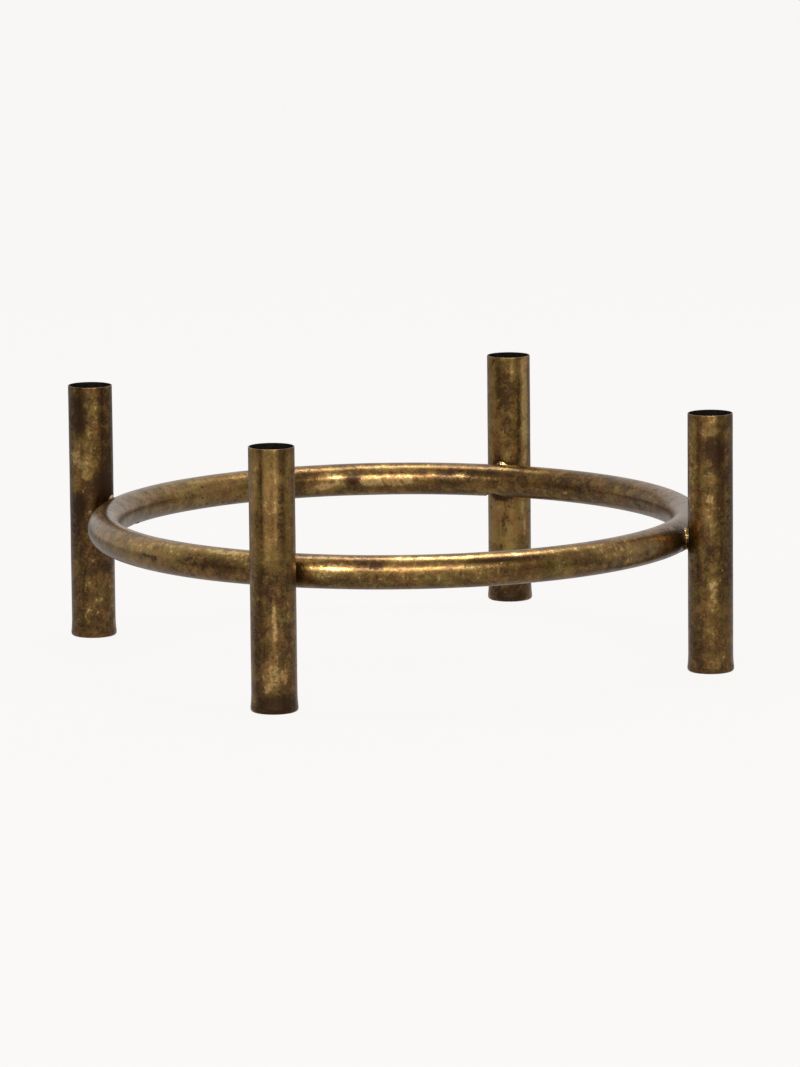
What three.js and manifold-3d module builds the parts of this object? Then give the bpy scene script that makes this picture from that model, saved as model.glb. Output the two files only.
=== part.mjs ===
// A low candlestick for four taper candles, made of brazed round tube.
// A hollow hoop carries four upright tubes, a quarter turn apart and brazed to its outer side.
// Each upright holds a candle in its open top, on a stop inside, and stands on the plug in its foot.
// Sizes are millimetres and +Z is up. The origin is on the floor at the centre of the hoop.
// The front upright stands at -Y and the right one at +X.

import * as THREE from "three";
import { mergeVertices } from "three/addons/utils/BufferGeometryUtils.js";
import Module from "manifold-3d";

// Hoop: one tube bent to a circle, with a vent drilled in its underside at each upright
const HOOP_OUTER_DIAMETER = 350;
const HOOP_TUBE_DIAMETER = 19;
const HOOP_WALL = 1.2;
const HOOP_CENTRE_HEIGHT = 74.3;
const VENT_DIAMETER = 13;

// Uprights: open tubes with a rounded rim, swollen at the foot where the plug is driven in
const UPRIGHT_DIAMETER = 25.4;
const UPRIGHT_WALL = 1;
const UPRIGHT_TOP_HEIGHT = 146;
const RIM_ROUNDING = 0.4;
const FOOT_SWELL = 0.4;
const FOOT_SWELL_LENGTH = 8;

// Candle stops: pressed cups, upside down in the uprights, with a hole that lets the air out
const SOCKET_DEPTH = 28;
const STOP_THICKNESS = 1.2;
const STOP_SKIRT = 7;
const STOP_ROUNDING = 0.8;
const STOP_HOLE_DIAMETER = 5;

// Foot plugs: turned discs with a spigot up the upright's bore
const PLUG_THICKNESS = 3;
const PLUG_ROUNDING = 1.6;
const SPIGOT_LENGTH = 7;
const SPIGOT_LEAD = 0.8;

// Braze: a bead round the point where the hoop and the upright meet
const BRAZE_HALF_HEIGHT = 7;
const BRAZE_HALF_WIDTH = 6.5;
const BRAZE_HALF_DEPTH = 4;
const BRAZE_CORE_RADIUS = 3.4;

// Clearances
const JOINT_GAP = 0.2;
const BRAZE_CLEARANCE = 0.15;
const BORE_CLEARANCE = 0.3;

// Facets: both counts of steps round are multiples of four, so that a vertex faces each joint
const HOOP_STEPS = 72;
const HOOP_TUBE_STEPS = 16;
const ROUND_STEPS = 32;
const SWELL_STEPS = 2;
const CORNER_STEPS = 2;
const BRAZE_STEPS = 20;

// Worked out from the sizes above
const HOOP_TUBE_RADIUS = HOOP_TUBE_DIAMETER / 2;
const HOOP_RADIUS = HOOP_OUTER_DIAMETER / 2 - HOOP_TUBE_RADIUS;
const UPRIGHT_RADIUS = UPRIGHT_DIAMETER / 2;
const BORE_RADIUS = UPRIGHT_RADIUS - UPRIGHT_WALL;
const BORE_FIT_RADIUS = BORE_RADIUS - BORE_CLEARANCE;
const UPRIGHT_PLACE_RADIUS = HOOP_OUTER_DIAMETER / 2 + JOINT_GAP + UPRIGHT_RADIUS;
const STOP_HEIGHT = UPRIGHT_TOP_HEIGHT - SOCKET_DEPTH;

const QUARTER = Math.PI / 2;
const UPRIGHTS = [
  { side: "front", bearing: -QUARTER },
  { side: "right", bearing: 0 },
  { side: "back", bearing: QUARTER },
  { side: "left", bearing: 2 * QUARTER },
];

const AGED_BRASS = { color: 0x7d6238, roughness: 0.42, metalness: 1 };
const DULL_BRASS = { color: 0x5a4628, roughness: 0.6, metalness: 1 };
const BRIGHT_BRAZE = { color: 0xc8a565, roughness: 0.3, metalness: 1 };

const wasm = await Module();
wasm.setup();

// The closed geometry as a solid that can be joined and cut
function toSolid(geometry) {
  const bare = geometry.clone();
  bare.deleteAttribute("normal");
  bare.deleteAttribute("uv");
  const merged = mergeVertices(bare);
  return new wasm.Manifold(
    new wasm.Mesh({
      numProp: 3,
      vertProperties: merged.attributes.position.array,
      triVerts: new Uint32Array(merged.index.array),
    }),
  );
}

function toGeometry(solid) {
  const mesh = solid.getMesh();
  const geometry = new THREE.BufferGeometry();
  geometry.setAttribute("position", new THREE.BufferAttribute(mesh.vertProperties, 3));
  geometry.setIndex(new THREE.BufferAttribute(mesh.triVerts, 1));
  geometry.computeVertexNormals();
  return geometry;
}

// Points of an arc in a (radius, height) profile, both ends included
function arc(radius, height, size, from, to) {
  return Array.from({ length: CORNER_STEPS + 1 }, (_, step) => {
    const angle = from + ((to - from) * step) / CORNER_STEPS;
    return new THREE.Vector2(radius + size * Math.cos(angle), height + size * Math.sin(angle));
  });
}

// A profile of (radius, height) points turned round the Z axis
function revolve(points) {
  return new THREE.LatheGeometry(points, ROUND_STEPS).rotateX(QUARTER);
}

function ringProfile(points) {
  return [...points, points[0].clone()];
}

function hoopTorus(tubeRadius) {
  return new THREE.TorusGeometry(HOOP_RADIUS, tubeRadius, HOOP_TUBE_STEPS, HOOP_STEPS);
}

// The drill for one vent, from the middle of the hoop's tube down past its underside
function ventDrill(bearing) {
  const drill = new THREE.CylinderGeometry(
    VENT_DIAMETER / 2,
    VENT_DIAMETER / 2,
    HOOP_TUBE_DIAMETER,
    ROUND_STEPS,
  );
  return drill
    .rotateX(QUARTER)
    .translate(HOOP_RADIUS, 0, -HOOP_TUBE_RADIUS)
    .rotateZ(bearing);
}

function hoopGeometry() {
  const tube = toSolid(hoopTorus(HOOP_TUBE_RADIUS));
  const hollow = toSolid(hoopTorus(HOOP_TUBE_RADIUS - HOOP_WALL));
  const drilled = UPRIGHTS.reduce(
    (hoop, { bearing }) => hoop.subtract(toSolid(ventDrill(bearing))),
    tube.subtract(hollow),
  );
  return toGeometry(drilled);
}

// How far the upright's wall stands out at a share of the swell's length, counted from its foot
function swellAt(share) {
  return FOOT_SWELL * (1 - share) ** 2;
}

function uprightGeometry() {
  const swell = Array.from({ length: SWELL_STEPS + 1 }, (_, step) => {
    const share = step / SWELL_STEPS;
    return new THREE.Vector2(swellAt(share), PLUG_THICKNESS + share * FOOT_SWELL_LENGTH);
  });
  const outside = swell.map(({ x, y }) => new THREE.Vector2(UPRIGHT_RADIUS + x, y));
  const inside = swell.map(({ x, y }) => new THREE.Vector2(BORE_RADIUS + x, y)).reverse();
  const rimHeight = UPRIGHT_TOP_HEIGHT - RIM_ROUNDING;
  const rim = [
    ...arc(UPRIGHT_RADIUS - RIM_ROUNDING, rimHeight, RIM_ROUNDING, 0, QUARTER),
    ...arc(BORE_RADIUS + RIM_ROUNDING, rimHeight, RIM_ROUNDING, QUARTER, 2 * QUARTER),
  ];
  return revolve(ringProfile([...outside, ...rim, ...inside]));
}

function candleStopGeometry() {
  const under = STOP_HEIGHT - STOP_THICKNESS;
  const hem = STOP_HEIGHT - STOP_SKIRT;
  const skirtBore = BORE_FIT_RADIUS - STOP_THICKNESS;
  return revolve(
    ringProfile([
      new THREE.Vector2(STOP_HOLE_DIAMETER / 2, under),
      new THREE.Vector2(skirtBore, under),
      new THREE.Vector2(skirtBore, hem),
      new THREE.Vector2(BORE_FIT_RADIUS, hem),
      ...arc(BORE_FIT_RADIUS - STOP_ROUNDING, STOP_HEIGHT - STOP_ROUNDING, STOP_ROUNDING, 0, QUARTER),
      new THREE.Vector2(STOP_HOLE_DIAMETER / 2, STOP_HEIGHT),
    ]),
  );
}

function footPlugGeometry() {
  const discRadius = UPRIGHT_RADIUS + FOOT_SWELL;
  const spigotTop = PLUG_THICKNESS + SPIGOT_LENGTH;
  return revolve([
    new THREE.Vector2(0, 0),
    ...arc(discRadius - PLUG_ROUNDING, PLUG_ROUNDING, PLUG_ROUNDING, -QUARTER, 0),
    new THREE.Vector2(discRadius, PLUG_THICKNESS),
    new THREE.Vector2(BORE_FIT_RADIUS, PLUG_THICKNESS),
    new THREE.Vector2(BORE_FIT_RADIUS, spigotTop - SPIGOT_LEAD),
    new THREE.Vector2(BORE_FIT_RADIUS - SPIGOT_LEAD, spigotTop),
    new THREE.Vector2(0, spigotTop),
  ]);
}

// The bead in an upright's own frame, where the hoop passes on the -X side at its centre height
function brazeGeometry() {
  const contact = -(UPRIGHT_RADIUS + JOINT_GAP / 2);
  const blob = new THREE.SphereGeometry(1, BRAZE_STEPS, BRAZE_STEPS / 2)
    .rotateX(QUARTER)
    .scale(BRAZE_HALF_DEPTH, BRAZE_HALF_WIDTH, BRAZE_HALF_HEIGHT)
    .translate(contact, 0, 0);
  const hoop = hoopTorus(HOOP_TUBE_RADIUS + BRAZE_CLEARANCE).translate(-UPRIGHT_PLACE_RADIUS, 0, 0);
  const uprightRadius = UPRIGHT_RADIUS + BRAZE_CLEARANCE;
  const upright = new THREE.CylinderGeometry(
    uprightRadius,
    uprightRadius,
    4 * BRAZE_HALF_HEIGHT,
    ROUND_STEPS,
  ).rotateX(QUARTER);
  const core = new THREE.CylinderGeometry(
    BRAZE_CORE_RADIUS,
    BRAZE_CORE_RADIUS,
    4 * BRAZE_HALF_DEPTH,
    ROUND_STEPS / 2,
  )
    .rotateZ(QUARTER)
    .translate(contact, 0, 0);
  return toGeometry(
    toSolid(blob).subtract(toSolid(hoop)).subtract(toSolid(upright)).subtract(toSolid(core)),
  );
}

function piece(name, geometry, finish) {
  const mesh = new THREE.Mesh(geometry, new THREE.MeshStandardMaterial(finish));
  mesh.name = name;
  return mesh;
}

// One upright with what it holds, in a frame whose +X points away from the hoop's centre
function uprightAssembly(side, bearing, shapes) {
  const assembly = new THREE.Group();
  assembly.name = `${side}_upright_assembly`;
  assembly.position.set(
    UPRIGHT_PLACE_RADIUS * Math.cos(bearing),
    UPRIGHT_PLACE_RADIUS * Math.sin(bearing),
    0,
  );
  assembly.rotation.z = bearing;
  const braze = piece(`braze_${side}`, shapes.braze, BRIGHT_BRAZE);
  braze.position.z = HOOP_CENTRE_HEIGHT;
  assembly.add(
    piece(`upright_${side}`, shapes.upright, AGED_BRASS),
    piece(`candle_stop_${side}`, shapes.stop, DULL_BRASS),
    piece(`foot_plug_${side}`, shapes.plug, AGED_BRASS),
    braze,
  );
  return assembly;
}

const candlestick = new THREE.Group();
candlestick.name = "candlestick";

const hoop = piece("hoop", hoopGeometry(), AGED_BRASS);
hoop.position.z = HOOP_CENTRE_HEIGHT;
candlestick.add(hoop);

const shapes = {
  upright: uprightGeometry(),
  stop: candleStopGeometry(),
  plug: footPlugGeometry(),
  braze: brazeGeometry(),
};
for (const { side, bearing } of UPRIGHTS) {
  candlestick.add(uprightAssembly(side, bearing, shapes));
}

export default candlestick;
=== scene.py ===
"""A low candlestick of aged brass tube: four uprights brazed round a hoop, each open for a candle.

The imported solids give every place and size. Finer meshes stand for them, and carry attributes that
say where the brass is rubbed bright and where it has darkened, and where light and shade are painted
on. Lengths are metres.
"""

import math
import random

import bmesh
import bpy
import numpy as np
from mathutils import Matrix, Vector, noise


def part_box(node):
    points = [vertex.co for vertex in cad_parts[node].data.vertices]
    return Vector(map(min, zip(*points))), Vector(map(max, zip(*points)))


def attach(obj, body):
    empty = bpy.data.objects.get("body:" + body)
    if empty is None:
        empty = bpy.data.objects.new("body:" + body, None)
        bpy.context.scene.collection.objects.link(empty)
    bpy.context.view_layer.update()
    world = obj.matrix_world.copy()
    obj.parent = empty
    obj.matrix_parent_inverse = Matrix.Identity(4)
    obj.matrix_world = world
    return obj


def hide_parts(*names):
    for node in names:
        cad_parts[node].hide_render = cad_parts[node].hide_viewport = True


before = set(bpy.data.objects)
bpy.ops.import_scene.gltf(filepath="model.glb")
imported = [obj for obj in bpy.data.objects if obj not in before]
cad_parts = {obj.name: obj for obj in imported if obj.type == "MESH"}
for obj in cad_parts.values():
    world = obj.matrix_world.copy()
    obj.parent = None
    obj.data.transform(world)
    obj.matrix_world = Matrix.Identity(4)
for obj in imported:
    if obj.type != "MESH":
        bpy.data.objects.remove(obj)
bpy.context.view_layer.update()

MM = 0.001
QUARTER = math.pi / 2
SIDES = ("front", "right", "back", "left")

# Walls, edges and joints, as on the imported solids
HOOP_WALL = 1.2 * MM
VENT_RADIUS = 6.5 * MM
UPRIGHT_RADIUS = 12.7 * MM
UPRIGHT_WALL = 1.0 * MM
RIM_ROUNDING = 0.4 * MM
FOOT_SWELL = 0.4 * MM
FOOT_SWELL_LENGTH = 8 * MM
STOP_THICKNESS = 1.2 * MM
STOP_ROUNDING = 0.8 * MM
STOP_HOLE_RADIUS = 2.5 * MM
PLUG_THICKNESS = 3 * MM
PLUG_ROUNDING = 1.6 * MM
SPIGOT_LEAD = 0.8 * MM
BORE_CLEARANCE = 0.3 * MM

# Dents in the tubes: how deep and how long
HOOP_DENTS = (0.16 * MM, 30 * MM)
UPRIGHT_DENTS = (0.14 * MM, 24 * MM)

# Fineness of the meshes
HOOP_STEPS = 720
HOOP_TUBE_STEPS = 48
ROUND_STEPS = 96
ROW_HEIGHT = 1.2 * MM
CORNER_STEPS = 5
DRILL_STEPS = 48
FILLET_STEPS = 208
FILLET_FACE_STEPS = 8
MERGE_DISTANCE = 0.001 * MM
SHARP_ANGLE = math.radians(50)

# The camera, fitted to the photograph's frame of 800 by 1067 pixels
FRAME_HEIGHT = 1067
FOCAL_LENGTH = 7100
SENSOR = 36
CAMERA_DISTANCE = 3.9796
CAMERA_HEIGHT = 0.7214
CAMERA_AZIMUTH = math.radians(20.977)
CAMERA_PAN = math.radians(0.031)
CAMERA_TILT = math.radians(9.317)
CAMERA_ROLL = math.radians(-0.567)

# Bearing of the side of each piece that the photograph shows
SHOWN_BEARING = CAMERA_AZIMUTH - QUARTER

PAPER_WHITE = (0.955, 0.938, 0.921, 1)

# Wear on the shown side of each upright: turn to the right of the middle in degrees, height in
# millimetres, half the width in degrees, half the height in millimetres, and strength, where rubbed
# brass is above nought and darkened brass below. A few patches are painted highlights and painted
# shade, marked where they stand.
UPRIGHT_WEAR_AND_PAINTED_LIGHT = {
    "left": (
        (-35, 130, 30, 12, -0.55),
        # Painted highlight: a bright streak where the front lamp's reflection runs down the upright.
        (15, 132, 7, 14, 0.35),
        (48, 112, 26, 34, -0.3),
        (-24, 103, 38, 14, 0.5),
        # Painted highlight, in part: lighter brass where the front lamp's reflection falls.
        (-12, 104, 7, 16, 0.2),
        (-15, 109, 12, 3, -0.5),
        (-35, 78, 25, 7, -0.6),
        (-50, 65, 20, 10, -0.3),
        (-50, 43, 15, 5, 0.25),
        (5, 20, 25, 6, 0.3),
        (-30, 13, 20, 4, 0.2),
        (28, 89, 38, 8, -0.8),
    ),
    "front": (
        (-55, 125, 18, 20, 0.3),
        (-26, 118, 5, 30, -0.45),
        (-43, 128, 8, 16, 0.3),
        (-42, 108, 8, 8, -0.4),
        (-15, 120, 9, 26, 0.2),
        # Painted highlight: a bright streak where the front lamp's reflection runs down the upright.
        (9, 117, 4, 26, 0.55),
        (25, 115, 10, 30, -0.4),
        (45, 120, 15, 25, 0.15),
        (0, 77, 50, 5, -0.3),
        (-5, 66, 25, 8, -0.25),
        (-20, 62, 8, 5, 0.3),
        (3, 50, 6, 16, 0.8),
        (40, 55, 6, 8, 0.3),
        (-45, 30, 10, 20, -0.25),
        (-5, 22, 22, 9, 0.6),
        (28, 21, 15, 5, 0.5),
        (-18, 14, 8, 3, 0.5),
        (10, 4, 60, 8, -0.7),
    ),
    "back": (
        (40, 140, 25, 6, 0.5),
        (48, 113, 13, 36, 0.9),
        (27, 114, 6, 28, -0.4),
        (8, 138, 5, 7, 0.7),
        (-10, 125, 28, 15, -0.5),
        (0, 100, 22, 14, -0.2),
        (-65, 110, 15, 30, 0.3),
        (-10, 87, 20, 4, 0.4),
        (35, 57, 8, 5, 0.6),
        (45, 47, 7, 6, 0.9),
        (-30, 57, 12, 5, 0.4),
        (-10, 50, 15, 8, -0.4),
        # Painted shade: the upright's face under the hoop, behind the vent, darkened as the crevice's
        # shade.
        (-28, 65, 32, 4, -1.2),
        (0, 4, 60, 7, -0.5),
    ),
    "right": (
        (-55, 125, 20, 22, 0.45),
        (-60, 98, 15, 20, 0.25),
        (0, 143, 10, 3, 0.45),
        (5, 136, 30, 2.5, 0.3),
        (10, 127, 25, 10, -0.55),
        (22, 114, 22, 8, -0.3),
        (0, 112, 14, 6, 0.35),
        (-5, 98, 12, 8, 0.25),
        (0, 82, 14, 8, 0.3),
        (30, 78, 10, 8, -0.3),
        (0, 67, 14, 4, -0.5),
        (5, 48, 13, 14, 0.35),
        (0, 20, 9, 14, 0.2),
        (5, 7, 15, 5, 0.35),
        (60, 80, 20, 60, -0.25),
    ),
}

# Wear on the shown sides of the hoop: bearing, angle round the tube from its outer side up, half
# the length along the hoop and half the width round the tube, all in degrees, and strength. Some
# patches brighten the brass where the lamps' reflections fall, as painted highlights, marked where they
# stand.
HOOP_WEAR_AND_PAINTED_LIGHT = (
    (42, 155, 4, 12, 0.25),
    (70, 165, 6, 20, -0.25),
    (84, 122, 6, 9, 0.3),
    (95, 150, 7, 16, -0.4),
    # Painted highlight: bright brass blobs where the front lamp's reflection falls on the back of the
    # hoop.
    (97, 155, 1.6, 7, 0.8),
    (103, 155, 1.2, 6, 0.8),
    (111, 178, 5.5, 18, 0.95),
    (117, -178, 2.5, 22, 0.5),
    (113.6, 174, 0.7, 7, -0.6),
    (109.6, -178, 0.9, 7, -0.6),
    (106.5, 175, 0.8, 8, -0.5),
    (112, 150, 6, 6, -0.35),
    (114, 125, 4, 12, 0.3),
    (105, 118, 5, 8, 0.2),
    (120.3, 172, 1.4, 22, -0.8),
    (124.5, 156, 3, 12, 0.7),
    (125, -172, 3.5, 16, 0.6),
    (127, -165, 2, 12, 0.6),
    (131, 160, 3, 40, -0.3),
    (147, 165, 5, 15, 0.3),
    (157, 150, 3, 8, -0.3),
    (161, 150, 3, 6, 0.35),
    (207, 88, 12, 13, -0.5),
    (236, 45, 4, 25, 0.45),
    (235, 50, 1.5, 6, -0.5),
    (240, 5, 4, 9, -0.4),
    (246, 40, 4, 24, 0.4),
    # Rubbed brass along the top of the hoop, laid where the top lamp's reflection falls: partly painted
    # highlight.
    (249, 60, 6, 12, 0.4),
    (258, 60, 6, 12, 0.5),
    (253, 12, 6, 22, -0.42),
    (261, 35, 3, 20, 0.4),
    (281, 20, 6, 22, 0.6),
    (277, -5, 3, 12, 0.35),
    (286, 32, 3.6, 26, -0.36),
    (284, 18, 1.5, 8, -0.3),
    (286.9, 28, 0.9, 8, -0.55),
    # Rubbed brass along the top of the hoop, broken by dark flecks, laid where the top lamp's
    # reflection falls: partly painted highlight.
    (292, 60, 5, 14, 0.5),
    (292.4, 62, 0.7, 9, -0.6),
    (294.2, 66, 0.8, 10, -0.5),
    (300, 60, 8, 12, 0.4),
    (310, 60, 8, 10, 0.4),
    (320, 58, 8, 10, 0.4),
    (308, 40, 5, 8, -0.6),
    (315, 38, 5, 8, -0.4),
    (297, -15, 12, 15, 0.2),
    (330, 55, 4, 8, 0.3),
    (335, 25, 5, 30, 0.38),
    (338, -20, 1, 15, 0.5),
    (354, 10, 5.5, 80, -0.4),
)

# How much lighter or darker the skin is over wide areas, in the same terms as the wear. The patches
# beside the right joint are painted light that lifts the shade there.
UPRIGHT_TONE_AND_PAINTED_LIGHT = {
    "left": ((0, 80, 120, 90, -0.06), (0, 30, 100, 50, -0.05)),
    "front": ((0, 118, 130, 40, 0.24),),
    "back": ((0, 110, 130, 60, 0.24), (0, 45, 130, 30, 0.26)),
    # Right: the last patch, low by the hoop, is painted light that lifts the shade beside the joint.
    "right": ((0, 70, 130, 100, -0.06), (-50, 110, 30, 45, 0.12), (-65, 72, 30, 12, 0.2)),
}
HOOP_TONE_AND_PAINTED_LIGHT = (
    (55, 150, 30, 60, -0.04),
    (95, 160, 14, 60, -0.06),
    (155, 160, 25, 60, 0.26),
    (185, 10, 14, 180, -0.08),
    (238, 20, 20, 70, 0.22),
    (320, 20, 25, 70, 0.08),
    # Painted light: lifts the shade on the hoop beside the right joint.
    (353, 0, 6, 60, 0.25),
)

# The sides that the photograph doesn't show wear as the others do. Their patches are drawn by lot,
# strengths and an upright's half heights from these choices and the rest from these ranges.
LOT_SEED = 7
UPRIGHT_PATCHES = 15
UPRIGHT_PATCH_TURNS = (100, 260)
UPRIGHT_PATCH_HEIGHTS = (5, 140)
UPRIGHT_PATCH_HALF_TURNS = (7, 22)
UPRIGHT_PATCH_HALF_HEIGHTS = (4, 8, 14, 20)
UPRIGHT_PATCH_STRENGTHS = (-0.5, -0.4, 0.2, 0.3, 0.4)
HOOP_PATCHES = 46
HOOP_PATCH_HALF_LENGTHS = (1.5, 6)
HOOP_PATCH_HALF_TURNS = (8, 24)
HOOP_PATCH_STRENGTHS = (-0.5, -0.4, 0.2, 0.35, 0.5)

# Bearings and turns round the tube of the hoop's hidden sides: inside at the front, outside at the back
HIDDEN_INSIDE = ((208, 374), (125, 260))
HIDDEN_OUTSIDE = ((28, 194), (-100, 55))

# Brass darkened by the torch round each joint: how far in degrees or millimetres, and how much
TORCH_STAIN_ON_UPRIGHT = (50, 13, -0.8)
TORCH_STAIN_ON_HOOP = (0, 3.4, 55, -0.6)

# How much longer the streaks on a tube are than they are wide
STREAK_STRETCH = 14

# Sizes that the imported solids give
hoop_low, hoop_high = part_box("hoop")
HOOP_OUTER_RADIUS = hoop_high.x
HOOP_HEIGHT = (hoop_low.z + hoop_high.z) / 2
HOOP_TUBE_RADIUS = (hoop_high.z - hoop_low.z) / 2
HOOP_RADIUS = HOOP_OUTER_RADIUS - HOOP_TUBE_RADIUS
UPRIGHT_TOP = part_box("upright_front")[1].z
STOP_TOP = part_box("candle_stop_front")[1].z
STOP_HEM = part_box("candle_stop_front")[0].z
SPIGOT_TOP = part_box("foot_plug_front")[1].z
BORE_RADIUS = UPRIGHT_RADIUS - UPRIGHT_WALL
BORE_FIT_RADIUS = BORE_RADIUS - BORE_CLEARANCE


def upright_centre(side):
    low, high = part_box(f"upright_{side}")
    return (low.x + high.x) / 2, (low.y + high.y) / 2


def upright_bearing(side):
    x, y = upright_centre(side)
    return math.atan2(y, x)


def wrapped(degrees):
    """The angle brought between minus and plus half a turn."""
    return (degrees + 180) % 360 - 180


# Meshes


def arc(radius, height, size, start, end):
    """Points of an arc in a (radius, height) profile, both ends included."""
    turns = np.linspace(start, end, CORNER_STEPS + 1)
    return [(radius + size * math.cos(t), height + size * math.sin(t)) for t in turns]


def wall(radius_at, low, high):
    """Points of a wall in a (radius, height) profile, a row's height apart, both ends included."""
    count = max(1, round(abs(high - low) / ROW_HEIGHT))
    return [(radius_at(z), z) for z in np.linspace(low, high, count + 1)]


def grid_faces(count, steps):
    """Quads between rows of points that wrap round both ways."""
    index = np.arange(count * steps).reshape(count, steps)
    ahead = np.roll(index, -1, axis=0)
    corners = [index, np.roll(index, -1, axis=1), np.roll(ahead, -1, axis=1), ahead]
    return np.stack(corners, axis=-1).reshape(-1, 4)


def grid_mesh(name, *grids):
    """A mesh of closed shells. Each grid holds rows of points that wrap round both ways."""
    points, faces, used = [], [], 0
    for rows in grids:
        count, steps = rows.shape[:2]
        points += rows.reshape(-1, 3).tolist()
        faces += (grid_faces(count, steps) + used).tolist()
        used += count * steps
    mesh = bpy.data.meshes.new(name)
    mesh.from_pydata(points, [], faces)
    return tidied(mesh)


def tidied(mesh):
    """Merges points that meet, drops faces without area and makes the rest smooth and outward."""
    shape = bmesh.new()
    shape.from_mesh(mesh)
    bmesh.ops.remove_doubles(shape, verts=shape.verts, dist=MERGE_DISTANCE)
    loose = [edge for edge in shape.edges if not edge.link_faces]
    bmesh.ops.delete(shape, geom=loose, context="EDGES")
    bmesh.ops.recalc_face_normals(shape, faces=shape.faces)
    for face in shape.faces:
        face.smooth = True
    shape.to_mesh(mesh)
    shape.free()
    mesh.set_sharp_from_angle(angle=SHARP_ANGLE)
    return mesh


def revolved(name, profile, centre):
    """The closed (radius, height) profile turned round the upright line through the centre."""
    turns = np.arange(ROUND_STEPS) * 2 * math.pi / ROUND_STEPS
    radius, height = np.array(profile).T[..., None]
    x = centre[0] + radius * np.cos(turns)
    y = centre[1] + radius * np.sin(turns)
    return grid_mesh(name, np.stack([x, y, height + 0 * x], axis=-1))


def torus_rows(tube_radius, steps, tube_steps):
    bearing = (np.arange(steps) * 2 * math.pi / steps)[:, None]
    turn = np.arange(tube_steps) * 2 * math.pi / tube_steps
    radius = HOOP_RADIUS + tube_radius * np.cos(turn)
    height = HOOP_HEIGHT + tube_radius * np.sin(turn)
    x = radius * np.cos(bearing)
    return np.stack([x, radius * np.sin(bearing), height + 0 * x], axis=-1)


def points_of(mesh):
    flat = np.empty(len(mesh.vertices) * 3)
    mesh.vertices.foreach_get("co", flat)
    return flat.reshape(-1, 3)


def dented(mesh, depth, length):
    """Pushes the surface in along its normals, up to the depth, in soft dents about the length."""
    normals = np.empty(len(mesh.vertices) * 3)
    mesh.vertex_normals.foreach_get("vector", normals)
    points = points_of(mesh)
    push = np.array([noise.noise(Vector(point) / length) - 1 for point in points]) * depth / 2
    mesh.vertices.foreach_set("co", (points + normals.reshape(-1, 3) * push[:, None]).ravel())
    mesh.update()
    return mesh


# Attributes that the materials read


def set_attribute(mesh, name, values):
    kind = "FLOAT" if values.ndim == 1 else "FLOAT_VECTOR"
    attribute = mesh.attributes.new(name, kind, "POINT")
    attribute.data.foreach_set("value" if values.ndim == 1 else "vector", values.ravel())


def patch_field(turn, along, patches):
    """Sum of soft patches, each a (turn, along, half turn, half along, strength).

    On an upright these are the turn in degrees and the height in millimetres. On the hoop they are
    the bearing and the turn round the tube, in degrees. Wrapping leaves a height as it is, because
    no upright is 180 high.
    """
    field = np.zeros(len(turn))
    for at_turn, at_along, half_turn, half_along, strength in patches:
        across = wrapped(turn - at_turn) / half_turn
        beside = wrapped(along - at_along) / half_along
        field += strength * np.exp(-((across**2 + beside**2) ** 1.5))
    return field


def hidden_upright_patches(lot):
    """Patches for the half of an upright that the photograph doesn't show."""
    patches = []
    for _ in range(UPRIGHT_PATCHES):
        turn = lot.uniform(*UPRIGHT_PATCH_TURNS)
        half_height = lot.choice(UPRIGHT_PATCH_HALF_HEIGHTS)
        strength = lot.choice(UPRIGHT_PATCH_STRENGTHS)
        height = lot.uniform(*UPRIGHT_PATCH_HEIGHTS)
        half_turn = lot.uniform(*UPRIGHT_PATCH_HALF_TURNS)
        patches.append((turn, height, half_turn, half_height, strength))
    return patches


def add_upright_wear(mesh, side, centre, lot):
    """The attributes of an upright or of its foot plug."""
    points = points_of(mesh)
    bearing = np.degrees(np.arctan2(points[:, 1] - centre[1], points[:, 0] - centre[0]))
    turn = wrapped(bearing - math.degrees(SHOWN_BEARING))
    height = points[:, 2] / MM
    joint = math.degrees(math.atan2(-centre[1], -centre[0]))
    stain = (joint, HOOP_HEIGHT / MM, *TORCH_STAIN_ON_UPRIGHT)
    wear_and_painted_light = patch_field(turn, height, (*UPRIGHT_WEAR_AND_PAINTED_LIGHT[side], *hidden_upright_patches(lot)))
    local = points - (centre[0], centre[1], 0)
    set_attribute(mesh, "wear_and_painted_light", wear_and_painted_light + patch_field(bearing, height, (stain,)))
    set_attribute(mesh, "tone", patch_field(turn, height, UPRIGHT_TONE_AND_PAINTED_LIGHT[side]))
    set_attribute(mesh, "grain", local / (1, 1, STREAK_STRETCH))
    set_attribute(mesh, "grain_turn", np.zeros(len(points)))


def hidden_hoop_patches(lot):
    """Patches for the hoop's sides that the photograph doesn't show, inside and outside by turns."""
    patches = []
    for index in range(HOOP_PATCHES):
        bearings, turns = HIDDEN_OUTSIDE if index % 2 else HIDDEN_INSIDE
        bearing = lot.uniform(*bearings)
        turn = lot.uniform(*turns)
        strength = lot.choice(HOOP_PATCH_STRENGTHS)
        half_length = lot.uniform(*HOOP_PATCH_HALF_LENGTHS)
        half_turn = lot.uniform(*HOOP_PATCH_HALF_TURNS)
        patches.append((bearing, turn, half_length, half_turn, strength))
    return patches


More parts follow.
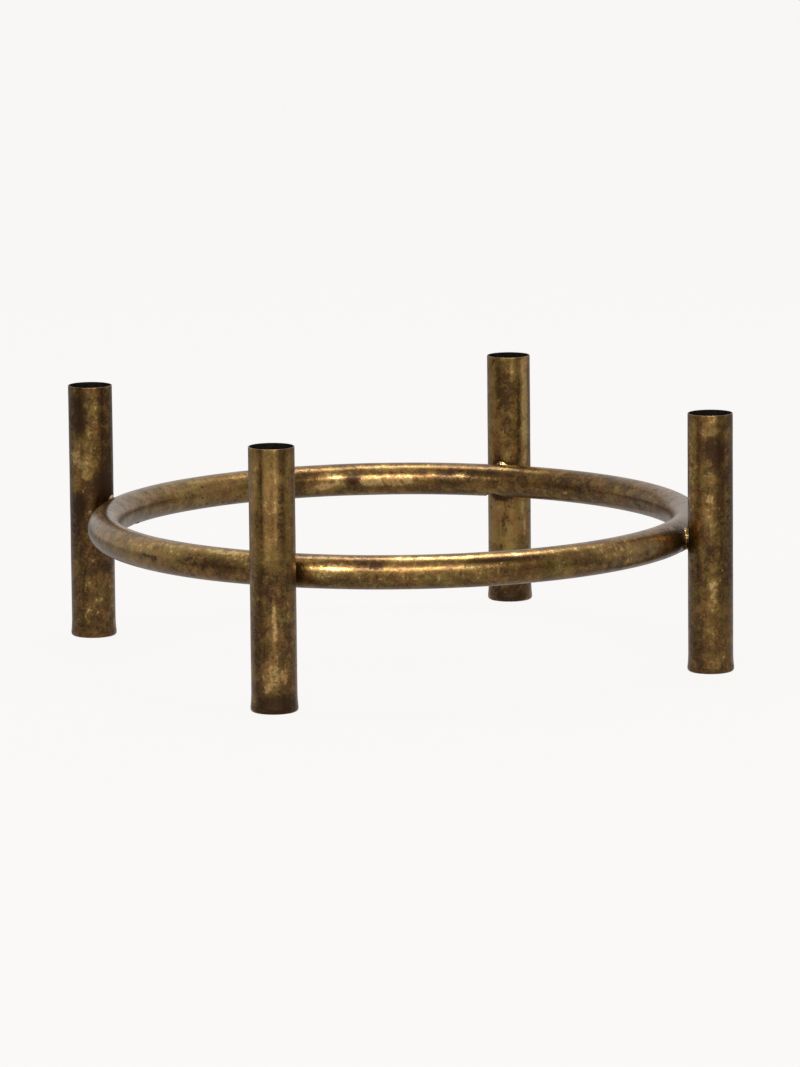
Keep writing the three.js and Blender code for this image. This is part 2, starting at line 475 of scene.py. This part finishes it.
def add_hoop_wear(mesh, lot):
    """The attributes of the hoop. Its grain has a fourth coordinate, so that the streaks meet."""
    points = points_of(mesh)
    bearing = np.arctan2(points[:, 1], points[:, 0])
    out = np.hypot(points[:, 0], points[:, 1]) - HOOP_RADIUS
    up = points[:, 2] - HOOP_HEIGHT
    places = np.degrees(bearing), np.degrees(np.arctan2(up, out))
    stains = [(math.degrees(upright_bearing(side)), *TORCH_STAIN_ON_HOOP) for side in SIDES]
    patches = (*HOOP_WEAR_AND_PAINTED_LIGHT, *hidden_hoop_patches(lot), *stains)
    shrunk = HOOP_RADIUS / STREAK_STRETCH
    grain = np.stack([shrunk * np.cos(bearing), shrunk * np.sin(bearing), out], axis=-1)
    set_attribute(mesh, "wear_and_painted_light", patch_field(*places, patches))
    set_attribute(mesh, "tone", patch_field(*places, HOOP_TONE_AND_PAINTED_LIGHT))
    set_attribute(mesh, "grain", grain)
    set_attribute(mesh, "grain_turn", up)


# Materials


class Tree:
    """Short calls that add nodes to a material or a world and link them."""

    def __init__(self, owner):
        owner.use_nodes = True
        self.nodes = owner.node_tree.nodes
        self.links = owner.node_tree.links
        self.nodes.clear()

    def feed(self, socket, value):
        if isinstance(value, bpy.types.NodeSocket):
            self.links.new(value, socket)
        else:
            socket.default_value = value

    def add(self, kind, inputs, **settings):
        node = self.nodes.new(kind)
        for key, value in settings.items():
            setattr(node, key, value)
        for socket, value in inputs.items():
            self.feed(node.inputs[socket], value)
        return node

    def math(self, operation, *values, clamp=False):
        node = self.add("ShaderNodeMath", {}, operation=operation, use_clamp=clamp)
        for socket, value in zip(node.inputs, values):
            self.feed(socket, value)
        return node.outputs[0]

    def attribute(self, name):
        return self.add("ShaderNodeAttribute", {}, attribute_name=name)

    def spots(self, vector, size, detail=4, rough=0.55, turn=None, swirl=0.0):
        """Noise centred on nought, with features about the size across."""
        inputs = {"Vector": vector, "Scale": 1 / size, "Detail": detail, "Roughness": rough}
        inputs["Distortion"] = swirl
        if turn is not None:
            inputs["W"] = turn
        node = self.add(
            "ShaderNodeTexNoise", inputs, noise_dimensions="3D" if turn is None else "4D"
        )
        return self.math("SUBTRACT", node.outputs["Fac"], 0.5)

    def weighted(self, *terms):
        """Sum of (value, weight) terms."""
        total = 0.0
        for value, weight in terms:
            total = self.math("MULTIPLY_ADD", value, weight, total)
        return total

    def between(self, value, low, high, start=0.0, end=1.0):
        inputs = {"Value": value, "From Min": low, "From Max": high, "To Min": start, "To Max": end}
        return self.add("ShaderNodeMapRange", inputs, interpolation_type="SMOOTHSTEP").outputs[0]

    def ramp(self, value, stops):
        """Colours by (position, colour) stops."""
        node = self.add("ShaderNodeValToRGB", {"Fac": value})
        elements = node.color_ramp.elements
        while len(elements) < len(stops):
            elements.new(1)
        for element, (position, colour) in zip(elements, stops):
            element.position = position
            element.color = (*colour, 1)
        return node.outputs["Color"]

    def blend(self, factor, first, second, mode="MIX"):
        node = self.add(
            "ShaderNodeMix", {"Factor": factor}, data_type="RGBA", blend_type=mode
        )
        colours = [socket for socket in node.inputs if socket.type == "RGBA"]
        self.feed(colours[0], first)
        self.feed(colours[1], second)
        return next(socket for socket in node.outputs if socket.type == "RGBA")


def new_material(name):
    material = bpy.data.materials.new(name)
    return material, Tree(material)


def close_material(tree, shader):
    tree.add("ShaderNodeOutputMaterial", {"Surface": shader})


def brass_patina():
    """Brass under a brown patina, darkest and rubbed through to gold as the wear attribute says, which
    also carries some painted highlights and painted shade.
    """
    material, tree = new_material("brass_patina")
    place = tree.add("ShaderNodeTexCoord", {}).outputs["Object"]
    wear_and_painted_light = tree.attribute("wear_and_painted_light").outputs["Fac"]
    tone = tree.attribute("tone").outputs["Fac"]
    grain = tree.attribute("grain").outputs["Vector"]
    grain_turn = tree.attribute("grain_turn").outputs["Fac"]

    # Mottling at several scales, with the last two drawn out along the tube
    broad = tree.spots(place, 24 * MM, detail=2)
    middle = tree.spots(place, 8 * MM, detail=3)
    blotches = tree.spots(place, 5 * MM, detail=6, rough=0.58, swirl=0.6)
    small = tree.spots(place, 2.2 * MM, detail=5, rough=0.6)
    fine = tree.spots(place, 1.3 * MM, detail=4, rough=0.7)
    speckled = tree.spots(grain, 3 * MM, detail=9, rough=0.78, turn=grain_turn)
    streaks = tree.spots(grain, 2 * MM, detail=4, rough=0.65, turn=grain_turn)

    # The brown skin, lighter and darker in clouds and flecks, and by the tone attribute, which holds
    # some painted light
    pale = tree.between(tree.weighted((middle, 0.9), (blotches, 1.0), (wear_and_painted_light, 0.25)), 0.03, 0.07)
    dull = tree.between(tree.weighted((middle, -0.8), (small, 1.2), (wear_and_painted_light, -0.25)), 0.04, 0.08)
    skin = tree.weighted(
        (wear_and_painted_light, 0.30), (tone, 1.0), (broad, 0.4), (small, 0.42), (fine, 0.70), (streaks, 0.5)
    )
    flecks = tree.spots(place, 1.9 * MM, detail=5, rough=0.65, swirl=0.8)
    light_flecks = tree.between(flecks, 0.10, 0.14)
    dark_flecks = tree.between(flecks, -0.10, -0.14)
    skin = tree.weighted(
        (skin, 1.0), (pale, 0.16), (dull, -0.16), (light_flecks, 0.15), (dark_flecks, -0.20)
    )
    brown = tree.ramp(
        tree.math("ADD", skin, 0.5),
        (
            (0.10, (0.048, 0.021, 0.005)),
            (0.30, (0.105, 0.052, 0.012)),
            (0.50, (0.185, 0.100, 0.024)),
            (0.70, (0.270, 0.157, 0.041)),
            (0.90, (0.370, 0.230, 0.067)),
        ),
    )

    # Dark stains on it, with the painted shade that the wear attribute carries
    stain = tree.weighted((wear_and_painted_light, -1.1), (broad, -0.3), (blotches, -2.2), (small, 1.6), (fine, 0.8))
    stained = tree.between(stain, 0.38, 0.46)
    darkened = tree.blend(tree.math("MULTIPLY", stained, 0.75), brown, (0.050, 0.022, 0.007, 1))

    # Where it is thin, and where it is rubbed through to gold, with the painted highlights that the
    # wear attribute carries
    rub = tree.weighted((wear_and_painted_light, 1.2), (broad, 0.3), (blotches, 2.3), (small, 1.7), (speckled, 1.4))
    thin = tree.between(rub, 0.32, 0.40)
    rubbed = tree.between(rub, 0.56, 0.64)
    brightened = tree.blend(tree.math("MULTIPLY", thin, 0.35), darkened, (0.370, 0.235, 0.080, 1))
    gold = tree.ramp(
        tree.math("ADD", tree.weighted((fine, 1.4), (middle, 0.8)), 0.5),
        ((0.2, (0.420, 0.255, 0.080)), (0.5, (0.600, 0.385, 0.140)), (0.8, (0.760, 0.540, 0.260))),
    )
    worn = tree.blend(rubbed, brightened, gold)

    # A hue that drifts between reddish and greenish brass
    wide_hue = tree.spots(place, 13 * MM, detail=3)
    near_hue = tree.spots(place, 3 * MM, detail=5, rough=0.65)
    hue = tree.between(tree.weighted((wide_hue, 0.9), (near_hue, 1.2)), -0.17, 0.17)
    tint = tree.ramp(
        hue,
        ((0.0, (1.0, 0.86, 0.84)), (0.5, (1.0, 0.97, 0.96)), (1.0, (0.93, 1.0, 0.84))),
    )
    colour = tree.blend(1.0, worn, tint, mode="MULTIPLY")

    roughness = tree.weighted((rubbed, -0.06), (stained, 0.08), (small, 0.4))
    roughness = tree.math("ADD", roughness, 0.33)
    grit = tree.spots(place, 0.7 * MM, detail=3)
    relief = tree.weighted((grit, 0.05), (fine, 0.07), (blotches, 0.15), (middle, 0.6))
    bump = tree.add("ShaderNodeBump", {"Strength": 1.0, "Distance": 0.4 * MM, "Height": relief})
    shader = tree.add(
        "ShaderNodeBsdfPrincipled",
        {
            "Base Color": colour,
            "Metallic": tree.math("MULTIPLY_ADD", stained, -0.1, 1.0),
            "Roughness": roughness,
            "Normal": bump.outputs["Normal"],
            "Coat Weight": tree.math("MULTIPLY_ADD", stained, -0.25, 0.45),
            "Coat Roughness": 0.22,
        },
    )
    close_material(tree, shader.outputs["BSDF"])
    return material


def soot_and_painted_shade():
    """The inside of the tubes, near-black: sooty in the candle sockets, and painted shade in the closed
    hollow of the hoop.
    """
    material, tree = new_material("soot_and_painted_shade")
    place = tree.add("ShaderNodeTexCoord", {}).outputs["Object"]
    dark_mottle = tree.between(tree.spots(place, 4 * MM, detail=5, rough=0.65), -0.15, 0.2)
    colour = tree.ramp(dark_mottle, ((0.0, (0.004, 0.003, 0.002)), (1.0, (0.014, 0.010, 0.006))))
    bump = tree.add("ShaderNodeBump", {"Strength": 0.4, "Distance": 0.1 * MM, "Height": dark_mottle})
    shader = tree.add(
        "ShaderNodeBsdfPrincipled",
        {
            "Base Color": colour,
            "Roughness": tree.between(dark_mottle, 0.0, 1.0, 0.8, 0.6),
            "Specular IOR Level": 0.1,
            "Normal": bump.outputs["Normal"],
        },
    )
    close_material(tree, shader.outputs["BSDF"])
    return material


def stop_patina():
    """The pressed candle stops: brass gone dull under wax and soot."""
    material, tree = new_material("stop_patina")
    place = tree.add("ShaderNodeTexCoord", {}).outputs["Object"]
    broad = tree.spots(place, 8 * MM, detail=3)
    fine = tree.spots(place, 1.5 * MM, detail=4, rough=0.7)
    tone = tree.math("ADD", tree.weighted((broad, 0.9), (fine, 0.5)), 0.4)
    colour = tree.ramp(
        tone,
        ((0.1, (0.020, 0.013, 0.007)), (0.5, (0.085, 0.056, 0.026)), (0.9, (0.30, 0.20, 0.09))),
    )
    bump = tree.add("ShaderNodeBump", {"Strength": 0.3, "Distance": 0.1 * MM, "Height": tone})
    shader = tree.add(
        "ShaderNodeBsdfPrincipled",
        {
            "Base Color": colour,
            "Metallic": tree.between(tone, 0.3, 0.7, 0.8, 1.0),
            "Roughness": tree.between(tone, 0.2, 0.8, 0.62, 0.42),
            "Normal": bump.outputs["Normal"],
        },
    )
    close_material(tree, shader.outputs["BSDF"])
    return material


def braze_gold():
    """The golden braze, darkened by flux in its hollows, with painted light: lighter towards its top
    and darker below.
    """
    material, tree = new_material("braze_gold")
    place = tree.add("ShaderNodeTexCoord", {}).outputs["Object"]
    # The painted light from above: lighter high on the fillet, darker low.
    height = tree.attribute("tone").outputs["Fac"]
    broad = tree.spots(place, 2.5 * MM)
    fine = tree.spots(place, 1.1 * MM, detail=4, rough=0.6)
    tone = tree.math("ADD", tree.weighted((height, 1.0), (fine, 1.6), (broad, 2.0)), 0.45)
    colour = tree.ramp(
        tone,
        (
            (0.15, (0.060, 0.034, 0.014)),
            (0.45, (0.330, 0.220, 0.090)),
            (0.75, (0.720, 0.560, 0.310)),
        ),
    )
    bump = tree.add("ShaderNodeBump", {"Strength": 0.3, "Distance": 0.1 * MM, "Height": fine})
    shader = tree.add(
        "ShaderNodeBsdfPrincipled",
        {
            "Base Color": colour,
            "Metallic": 1.0,
            "Roughness": tree.between(tone, 0.2, 0.8, 0.5, 0.24),
            "Normal": bump.outputs["Normal"],
        },
    )
    close_material(tree, shader.outputs["BSDF"])
    return material


# Pieces


def add_piece(name, mesh, materials, node):
    piece = bpy.data.objects.new(name, mesh)
    bpy.context.scene.collection.objects.link(piece)
    for material in materials:
        mesh.materials.append(material)
    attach(piece, "root")
    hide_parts(node)
    return piece


def paint_inside(mesh, is_inside):
    """Gives the second material to the faces whose middle is inside."""
    centres = np.empty(len(mesh.polygons) * 3)
    mesh.polygons.foreach_get("center", centres)
    inside = is_inside(centres.reshape(-1, 3))
    mesh.polygons.foreach_set("material_index", inside.astype(np.int32))


def cut_out(mesh, tools):
    """The mesh with each tool's mesh cut out of it."""
    body, *cutters = (bpy.data.objects.new(made.name, made) for made in (mesh, *tools))
    for used in (body, *cutters):
        bpy.context.scene.collection.objects.link(used)
    for cutter in cutters:
        cut = body.modifiers.new("cut", "BOOLEAN")
        cut.operation = "DIFFERENCE"
        cut.solver = "MANIFOLD"
        cut.object = cutter
    bpy.context.view_layer.update()
    evaluated = body.evaluated_get(bpy.context.evaluated_depsgraph_get())
    result = bpy.data.meshes.new_from_object(evaluated)
    result.materials.clear()
    for used in (body, *cutters):
        bpy.data.objects.remove(used)
    return result


def vent_drill(bearing):
    """A drill from the middle of the hoop's tube down past its underside."""
    mesh = bpy.data.meshes.new("vent_drill")
    shape = bmesh.new()
    place = (HOOP_RADIUS * math.cos(bearing), HOOP_RADIUS * math.sin(bearing))
    bmesh.ops.create_cone(
        shape,
        cap_ends=True,
        segments=DRILL_STEPS,
        radius1=VENT_RADIUS,
        radius2=VENT_RADIUS,
        depth=2 * HOOP_TUBE_RADIUS,
        matrix=Matrix.Translation((*place, HOOP_HEIGHT - HOOP_TUBE_RADIUS)),
    )
    shape.to_mesh(mesh)
    shape.free()
    return mesh


def make_hoop(brass, bore, lot):
    outside = torus_rows(HOOP_TUBE_RADIUS, HOOP_STEPS, HOOP_TUBE_STEPS)
    inside = torus_rows(HOOP_TUBE_RADIUS - HOOP_WALL, HOOP_STEPS // 2, HOOP_TUBE_STEPS // 2)
    mesh = dented(grid_mesh("hoop_tube", outside), *HOOP_DENTS)
    drills = [vent_drill(upright_bearing(side)) for side in SIDES]
    mesh = cut_out(mesh, [grid_mesh("hoop_bore", inside), *drills])
    add_hoop_wear(mesh, lot)
    hollow_reach = HOOP_TUBE_RADIUS - HOOP_WALL / 3

    def is_inside(centres):
        out = np.hypot(centres[:, 0], centres[:, 1]) - HOOP_RADIUS
        return np.hypot(out, centres[:, 2] - HOOP_HEIGHT) < hollow_reach

    piece = add_piece("aged_hoop", mesh, (brass, bore), "hoop")
    # The hollow of the hoop and the walls of its vents take the near-black inside material: painted
    # shade.
    paint_inside(mesh, is_inside)
    return piece


def foot_swell_at(height):
    """How far an upright's wall stands out near its foot."""
    share = min(1, max(0, (height - PLUG_THICKNESS) / FOOT_SWELL_LENGTH))
    return FOOT_SWELL * (1 - share) ** 2


def make_upright(side, brass, bore, lot):
    centre = upright_centre(side)
    rim = UPRIGHT_TOP - RIM_ROUNDING
    outside = wall(lambda z: UPRIGHT_RADIUS + foot_swell_at(z), PLUG_THICKNESS, rim)
    inside = wall(lambda z: BORE_RADIUS + foot_swell_at(z), rim, PLUG_THICKNESS)
    profile = [
        *outside[:-1],
        *arc(UPRIGHT_RADIUS - RIM_ROUNDING, rim, RIM_ROUNDING, 0, QUARTER),
        *arc(BORE_RADIUS + RIM_ROUNDING, rim, RIM_ROUNDING, QUARTER, 2 * QUARTER),
        *inside[1:],
    ]
    mesh = dented(revolved(f"upright_{side}_tube", profile, centre), *UPRIGHT_DENTS)
    add_upright_wear(mesh, side, centre, lot)
    wall_middle = (UPRIGHT_RADIUS + BORE_RADIUS) / 2

    def is_inside(centres):
        out = np.hypot(centres[:, 0] - centre[0], centres[:, 1] - centre[1])
        return out < wall_middle

    piece = add_piece(f"aged_upright_{side}", mesh, (brass, bore), f"upright_{side}")
    paint_inside(mesh, is_inside)
    return piece


def make_foot_plug(side, brass, lot):
    centre = upright_centre(side)
    disc_radius = UPRIGHT_RADIUS + FOOT_SWELL
    profile = [
        (0, 0),
        (disc_radius / 3, 0),
        (disc_radius * 2 / 3, 0),
        *arc(disc_radius - PLUG_ROUNDING, PLUG_ROUNDING, PLUG_ROUNDING, -QUARTER, 0),
        (disc_radius, PLUG_THICKNESS),
        (BORE_FIT_RADIUS, PLUG_THICKNESS),
        (BORE_FIT_RADIUS, SPIGOT_TOP - SPIGOT_LEAD),
        (BORE_FIT_RADIUS - SPIGOT_LEAD, SPIGOT_TOP),
        (0, SPIGOT_TOP),
    ]
    mesh = revolved(f"foot_plug_{side}_disc", profile, centre)
    add_upright_wear(mesh, side, centre, lot)
    return add_piece(f"aged_foot_plug_{side}", mesh, (brass,), f"foot_plug_{side}")


def make_candle_stop(side, brass):
    centre = upright_centre(side)
    under = STOP_TOP - STOP_THICKNESS
    skirt_bore = BORE_FIT_RADIUS - STOP_THICKNESS
    profile = [
        (STOP_HOLE_RADIUS, under),
        (skirt_bore, under),
        (skirt_bore, STOP_HEM),
        (BORE_FIT_RADIUS, STOP_HEM),
        *arc(BORE_FIT_RADIUS - STOP_ROUNDING, STOP_TOP - STOP_ROUNDING, STOP_ROUNDING, 0, QUARTER),
        (STOP_HOLE_RADIUS + STOP_THICKNESS / 2, STOP_TOP),
        (STOP_HOLE_RADIUS + STOP_THICKNESS / 6, STOP_TOP - STOP_THICKNESS / 6),
        (STOP_HOLE_RADIUS, STOP_TOP - STOP_THICKNESS / 2),
    ]
    mesh = revolved(f"candle_stop_{side}_cup", profile, centre)
    return add_piece(f"dull_candle_stop_{side}", mesh, (brass,), f"candle_stop_{side}")


# Braze: how far its fillet reaches from the point of contact, along the hoop and up and down the
# upright, how broad it is, how much further it climbs at its crest, how much lighter its colour is
# painted towards the top and darker towards the bottom as painted light from above, how deep it
# sits in the tubes, how hollow its face is, and its ripples and lumps
FILLET_HALF_WIDTH = 5.3 * MM
FILLET_REACH_UP = 6.0 * MM
FILLET_REACH_DOWN = 6.6 * MM
FILLET_BREADTH = 2.0 * MM
FILLET_CLIMB = {"front": 2.6 * MM, "right": 2.6 * MM, "back": 3.6 * MM, "left": 2.0 * MM}
FILLET_PAINTED_LIGHT = 0.15
FILLET_BITE = 0.05 * MM
FILLET_HOLLOW = 0.5 * MM
FILLET_RIPPLES = 17
FILLET_RIPPLE = 0.35 * MM
CREST_CALM = 0.6
FILLET_LUMPS = 0.8 * MM
LUMPS_ROUND = 2
LUMPS_APART = 5
RIPPLE_DRIFT = 1.5


def lump_at(turn, number):
    """Smooth noise round the fillet, another for each joint's number."""
    place = (LUMPS_ROUND * math.cos(turn), LUMPS_ROUND * math.sin(turn), LUMPS_APART * number)
    return noise.noise(Vector(place))


def make_braze(side, metal, number):
    """A rippled fillet in the crevice round the point where hoop and upright meet."""
    turns = (np.arange(FILLET_STEPS) * 2 * math.pi / FILLET_STEPS)[:, None]
    lumps = np.array([[lump_at(turn, number)] for turn, in turns])
    crest = np.maximum(0, np.sin(turns))
    ripples = np.cos((turns + RIPPLE_DRIFT * lumps) * FILLET_RIPPLES) * (1 - CREST_CALM * crest)
    share = np.linspace(0, 1, FILLET_FACE_STEPS + 1)
    climb = FILLET_CLIMB[side] * crest**3 * share**3
    lip = FILLET_RIPPLE / 2 * ripples + FILLET_LUMPS * lumps
    end = lip + climb - FILLET_HOLLOW * 4 * share * (1 - share)
    start = np.full_like(end, -FILLET_BREADTH)
    reach = np.hstack([start, end])
    across = np.concatenate([1 - share, share]) * 2 - 1
    aside = (FILLET_HALF_WIDTH + reach) * np.cos(turns)
    up = (np.where(np.sin(turns) > 0, FILLET_REACH_UP, FILLET_REACH_DOWN) + reach) * np.sin(turns)
    hoop_reach = HOOP_RADIUS + np.sqrt(np.maximum(0, HOOP_TUBE_RADIUS**2 - up**2))
    hoop_face = np.sqrt(hoop_reach**2 - aside**2)
    upright_middle = math.hypot(*upright_centre(side))
    upright_face = upright_middle - np.sqrt(UPRIGHT_RADIUS**2 - aside**2)
    half = (upright_face - hoop_face) / 2 + FILLET_BITE
    radial = (hoop_face + upright_face) / 2 + half * across
    bearing = upright_bearing(side)
    x = radial * math.cos(bearing) - aside * math.sin(bearing)
    y = radial * math.sin(bearing) + aside * math.cos(bearing)
    mesh = grid_mesh(f"braze_{side}_fillet", np.stack([x, y, HOOP_HEIGHT + up], axis=-1))
    # Painted light: the braze's colour is made lighter towards its top and darker below, as if lit from
    # above.
    height = (points_of(mesh)[:, 2] - HOOP_HEIGHT) / FILLET_REACH_UP
    set_attribute(mesh, "tone", FILLET_PAINTED_LIGHT * height)
    return add_piece(f"braze_fillet_{side}", mesh, (metal,), f"braze_{side}")


def make_candlestick():
    brass = brass_patina()
    bore = soot_and_painted_shade()
    stop_brass = stop_patina()
    metal = braze_gold()
    lot = random.Random(LOT_SEED)
    make_hoop(brass, bore, lot)
    for number, side in enumerate(SIDES):
        make_upright(side, brass, bore, random.Random(LOT_SEED + number))
        make_foot_plug(side, brass, random.Random(LOT_SEED + number))
        make_candle_stop(side, stop_brass)
        make_braze(side, metal, number)


# Studio

# The floor paper: half its side, and its glow and own grey where the camera sees it
FLOOR_HALF = 12.0
FLOOR_GLOW = 0.965
FLOOR_ALBEDO = 0.03

# What the candlestick sees of the floor: an even light near by, the studio's far off, in metres
NEAR_FLOOR = 0.25
FAR_FLOOR = 0.7
NEAR_FLOOR_LIGHT = 0.6
FLOOR_LIGHT = 0.8

# How bright the studio is by the turn from the camera's side, in half turns, and from the last turn
# on, which is the back
STUDIO_LIGHT = ((0.00, 0.70), (0.10, 0.95), (0.17, 0.75), (0.25, 0.26), (0.35, 0.26), (0.46, 0.60))
BACK_TURN = 0.72
FLOOR_BEHIND = 0.35
BACKDROP = 0.72

# Light panels: turn from the camera's side and elevation in degrees, distance, width, height, power
LIGHT_PANELS = {
    "front_strip": (-2, 29, 3.0, 3.4, 0.5, 56),
    "top_panel": (-14, 108, 2.2, 1.6, 0.6, 19),
}


def studio_light(tree, direction, behind):
    """How bright the studio is in each direction, with dark gaps on both sides of the front."""
    towards = (math.cos(SHOWN_BEARING), math.sin(SHOWN_BEARING), 0)
    flat = tree.add(
        "ShaderNodeVectorMath", {0: direction, 1: (1, 1, 0)}, operation="MULTIPLY"
    )
    level = tree.add("ShaderNodeVectorMath", {0: flat.outputs[0]}, operation="NORMALIZE")
    facing = tree.add(
        "ShaderNodeVectorMath", {0: level.outputs[0], 1: towards}, operation="DOT_PRODUCT"
    )
    turn = tree.math("ARCCOSINE", facing.outputs["Value"])
    lights = (*STUDIO_LIGHT, (BACK_TURN, behind))
    stops = [(share, (light, light, light)) for share, light in lights]
    return tree.ramp(tree.math("DIVIDE", turn, math.pi), stops)


def background_rays(tree):
    """Which rays see the white background straight or through glass, and which see it mirrored."""
    path = tree.add("ShaderNodeLightPath", {})
    straight = tree.math(
        "MAXIMUM", path.outputs["Is Camera Ray"], path.outputs["Is Transmission Ray"]
    )
    return straight, path.outputs["Is Glossy Ray"]


def toned(tree, room, mirrored):
    """The room's light, with the paper's tone where the metal mirrors it."""
    papery = tree.blend(1.0, room, PAPER_WHITE, mode="MULTIPLY")
    return tree.blend(mirrored, room, papery)


def paper():
    """White floor paper, which glows where the camera sees it so that it keeps one even tone."""
    material, tree = new_material("studio_paper")
    place = tree.add("ShaderNodeTexCoord", {}).outputs["Object"]
    fibre = tree.spots(place, 2 * MM, detail=3)
    bump = tree.add("ShaderNodeBump", {"Strength": 0.05, "Distance": 0.1 * MM, "Height": fibre})
    white = tree.add(
        "ShaderNodeBsdfDiffuse",
        {"Color": (FLOOR_ALBEDO,) * 3 + (1,), "Normal": bump.outputs["Normal"]},
    )
    glow = tree.add("ShaderNodeEmission", {"Color": PAPER_WHITE, "Strength": FLOOR_GLOW})
    seen = tree.add("ShaderNodeAddShader", {0: white.outputs[0], 1: glow.outputs[0]})
    distance = tree.add("ShaderNodeVectorMath", {0: place}, operation="LENGTH").outputs["Value"]
    far = tree.between(distance, NEAR_FLOOR, FAR_FLOOR)
    pattern = studio_light(tree, place, FLOOR_BEHIND)
    room = tree.blend(far, (NEAR_FLOOR_LIGHT,) * 3 + (1,), pattern)
    seen_straight, mirrored = background_rays(tree)
    tone = toned(tree, room, mirrored)
    lit = tree.add("ShaderNodeEmission", {"Color": tone, "Strength": FLOOR_LIGHT})
    shader = tree.add(
        "ShaderNodeMixShader", {0: seen_straight, 1: lit.outputs[0], 2: seen.outputs[0]}
    )
    close_material(tree, shader.outputs[0])
    return material


def make_floor():
    mesh = bpy.data.meshes.new("studio_floor")
    corners = [(-FLOOR_HALF, -FLOOR_HALF, 0), (FLOOR_HALF, -FLOOR_HALF, 0)]
    corners += [(FLOOR_HALF, FLOOR_HALF, 0), (-FLOOR_HALF, FLOOR_HALF, 0)]
    mesh.from_pydata(corners, [], [(0, 1, 2, 3)])
    mesh.materials.append(paper())
    floor = bpy.data.objects.new("studio_floor", mesh)
    bpy.context.scene.collection.objects.link(floor)


def make_world():
    """The studio round the candlestick. The camera itself sees plain white."""
    world = bpy.data.worlds.new("studio")
    bpy.context.scene.world = world
    tree = Tree(world)
    direction = tree.add("ShaderNodeTexCoord", {}).outputs["Generated"]
    room = studio_light(tree, direction, BACKDROP)
    seen_straight, mirrored = background_rays(tree)
    tone = toned(tree, room, mirrored)
    colour = tree.blend(seen_straight, tone, PAPER_WHITE)
    background = tree.add("ShaderNodeBackground", {"Color": colour, "Strength": 1.0})
    tree.add("ShaderNodeOutputWorld", {"Surface": background.outputs[0]})


def add_panel(name, azimuth, elevation, distance, width, height, power):
    """A soft light panel that faces the candlestick, placed by angles from the camera's side."""
    light = bpy.data.lights.new(name, "AREA")
    light.shape = "RECTANGLE"
    light.size = width
    light.size_y = height
    light.energy = power
    bearing = SHOWN_BEARING + math.radians(azimuth)
    level = distance * math.cos(math.radians(elevation))
    lift = distance * math.sin(math.radians(elevation))
    target = Vector((0, 0, HOOP_HEIGHT))
    panel = bpy.data.objects.new(name, light)
    panel.location = target + Vector((level * math.cos(bearing), level * math.sin(bearing), lift))
    panel.rotation_euler = (panel.location - target).to_track_quat("Z", "Y").to_euler()
    bpy.context.scene.collection.objects.link(panel)


def make_lights():
    for name, panel in LIGHT_PANELS.items():
        add_panel(name, *panel)


def make_camera():
    """The photograph's camera, which stood off the candlestick's front right."""
    data = bpy.data.cameras.new("camera")
    data.sensor_width = SENSOR
    data.lens = FOCAL_LENGTH * SENSOR / FRAME_HEIGHT
    data.clip_end = 100
    ahead = Vector(
        (
            math.sin(CAMERA_PAN) * math.cos(CAMERA_TILT),
            math.cos(CAMERA_PAN) * math.cos(CAMERA_TILT),
            -math.sin(CAMERA_TILT),
        )
    )
    across = ahead.cross(Vector((0, 0, 1))).normalized()
    above = across.cross(ahead)
    axes = Matrix((across, above, -ahead)).transposed().to_4x4()
    roll = Matrix.Rotation(CAMERA_ROLL, 4, "Z")
    place = Matrix.Translation((0, -CAMERA_DISTANCE, CAMERA_HEIGHT))
    camera = bpy.data.objects.new("camera", data)
    camera.matrix_world = Matrix.Rotation(CAMERA_AZIMUTH, 4, "Z") @ place @ axes @ roll
    bpy.context.scene.collection.objects.link(camera)
    bpy.context.scene.camera = camera


make_camera()
make_candlestick()
make_floor()
make_world()
make_lights()
bpy.context.scene.view_settings.view_transform = "Standard"
